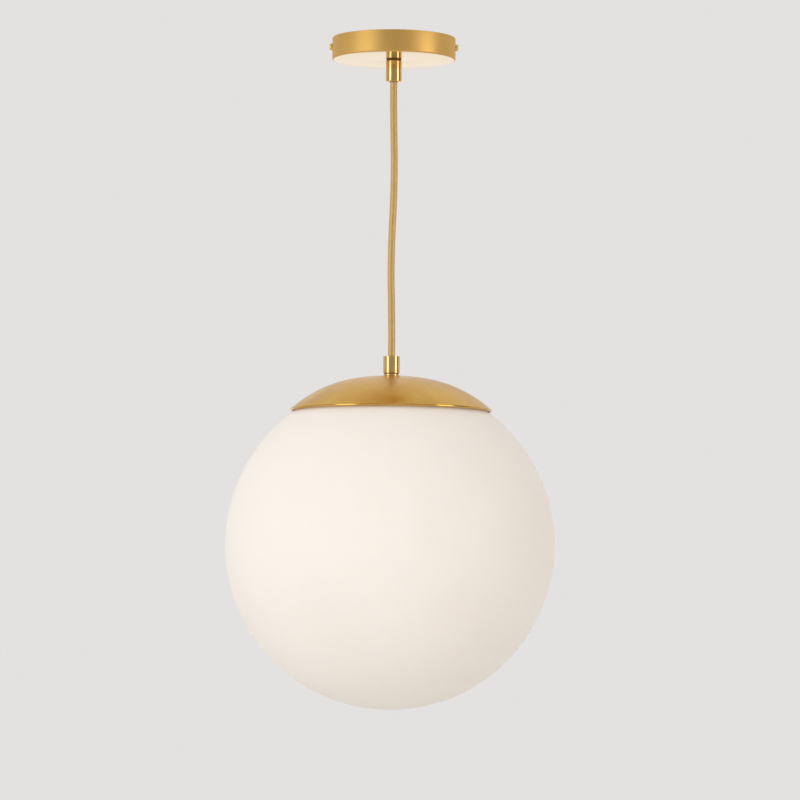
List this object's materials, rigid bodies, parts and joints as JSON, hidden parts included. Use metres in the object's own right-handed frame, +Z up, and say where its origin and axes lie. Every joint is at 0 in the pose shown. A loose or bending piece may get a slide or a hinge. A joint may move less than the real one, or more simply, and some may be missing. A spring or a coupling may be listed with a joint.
{
  "type": "pendant ceiling light",
  "caption": "Opal glass globe pendant with a domed brass cap, hanging on a gold textile flex between turned brass grips from a shallow round brass ceiling cup.",
  "frame": {"origin": "centre of the ceiling plane, in the middle of the bracket's two slots; the light hangs below it", "axes": "+Z up along the hanging axis into the ceiling; +X along the bracket through the two side screws; +Y towards the terminal block"},
  "size_m": [0.3, 0.2998, 0.6139],
  "materials": {
    "satin_brass": "satin brushed and lacquered",
    "polished_brass": "polished",
    "turned_brass": "turned",
    "zinc_steel": "zinc plated",
    "spring_steel": "bright",
    "textile_flex": "gold braided textile over insulated cores",
    "brown_insulation": "smooth",
    "blue_insulation": "smooth",
    "earth_insulation": "green with yellow stripe",
    "block_plastic": "natural",
    "porcelain": "glazed ceramic",
    "silicone": "soft",
    "opal_glass": "satin opal",
    "nickel_plate": "nickel plated",
    "black_glass": "glossy",
    "lamp_plastic": "white",
    "lamp_diffuser": "frosted",
    "board_aluminium": "white solder mask",
    "led_yellow": "phosphor",
    "board_green": "circuit board"
  },
  "bodies": {
    "ceiling_rose": {"mounting_bracket": "zinc_steel", "canopy": "satin_brass", "canopy_screws": "polished_brass", "terminal_block": "block_plastic", "terminal_inserts": "turned_brass", "terminal_screws": "zinc_steel", "terminal_block_screw": "zinc_steel", "earth_tag": "zinc_steel", "earth_screw": "polished_brass", "earth_lead": "earth_insulation", "upper_nipple": "turned_brass", "upper_washer": "zinc_steel", "upper_lock_nut": "zinc_steel", "upper_collar": "satin_brass", "upper_cord_grip": "satin_brass", "upper_grip_screw": "zinc_steel", "cord_tail_upper": "textile_flex", "core_brown_upper": "brown_insulation", "core_blue_upper": "blue_insulation", "core_earth_upper": "earth_insulation"},
    "flex": {"cord": "textile_flex"},
    "pendant": {"cord_tail_lower": "textile_flex", "lower_cord_grip": "satin_brass", "lower_grip_screw": "zinc_steel", "lower_collar": "satin_brass", "dome_cap": "satin_brass", "lower_nipple": "turned_brass", "lower_washer": "zinc_steel", "lower_lock_nuts": "zinc_steel", "holder_plate": "zinc_steel", "holder_springs": "spring_steel", "holder_rivets": "spring_steel", "globe_gasket": "silicone", "lampholder_cap": "satin_brass", "lampholder_lock_screw": "zinc_steel", "lampholder_earth_screw": "polished_brass", "lampholder_skirt": "satin_brass", "lampholder_insulator": "porcelain", "lampholder_liner": "turned_brass", "lampholder_terminals": "turned_brass", "lampholder_terminal_screws": "zinc_steel", "lampholder_centre_contact": "turned_brass", "core_brown_lower": "brown_insulation", "core_blue_lower": "blue_insulation", "core_earth_lower": "earth_insulation"},
    "shade": {"globe": "opal_glass"},
    "lamp": {"bulb_contact": "nickel_plate", "bulb_cap_insulator": "black_glass", "bulb_cap": "nickel_plate", "bulb_body": "lamp_plastic", "bulb_diffuser": "lamp_diffuser", "led_board": "board_aluminium", "led_chips": "led_yellow", "driver_board": "board_green"}
  },
  "joints": [
    {"name": "pendant_swing", "type": "hinge", "parent": "ceiling_rose", "child": "flex", "pos_m": [0, 0, -0.0477], "axis": [0, 1, 0], "range_deg": [-30, 30], "deforming": ["cord"]},
    {"name": "pendant_twist", "type": "hinge", "parent": "flex", "child": "pendant", "pos_m": [0, 0, -0.2922], "axis": [0, 0, 1], "range_deg": [-90, 90], "stiffness_Nm_per_rad": 0.02},
    {"name": "globe_release", "type": "slide", "parent": "pendant", "child": "shade", "axis": [0, 0, -1], "range_m": [0, 0.19], "deforming": ["holder_springs"]},
    {"name": "lamp_unscrew", "type": "slide", "parent": "pendant", "child": "lamp", "axis": [0, 0, -1], "range_m": [0, 0.03]}
  ]
}
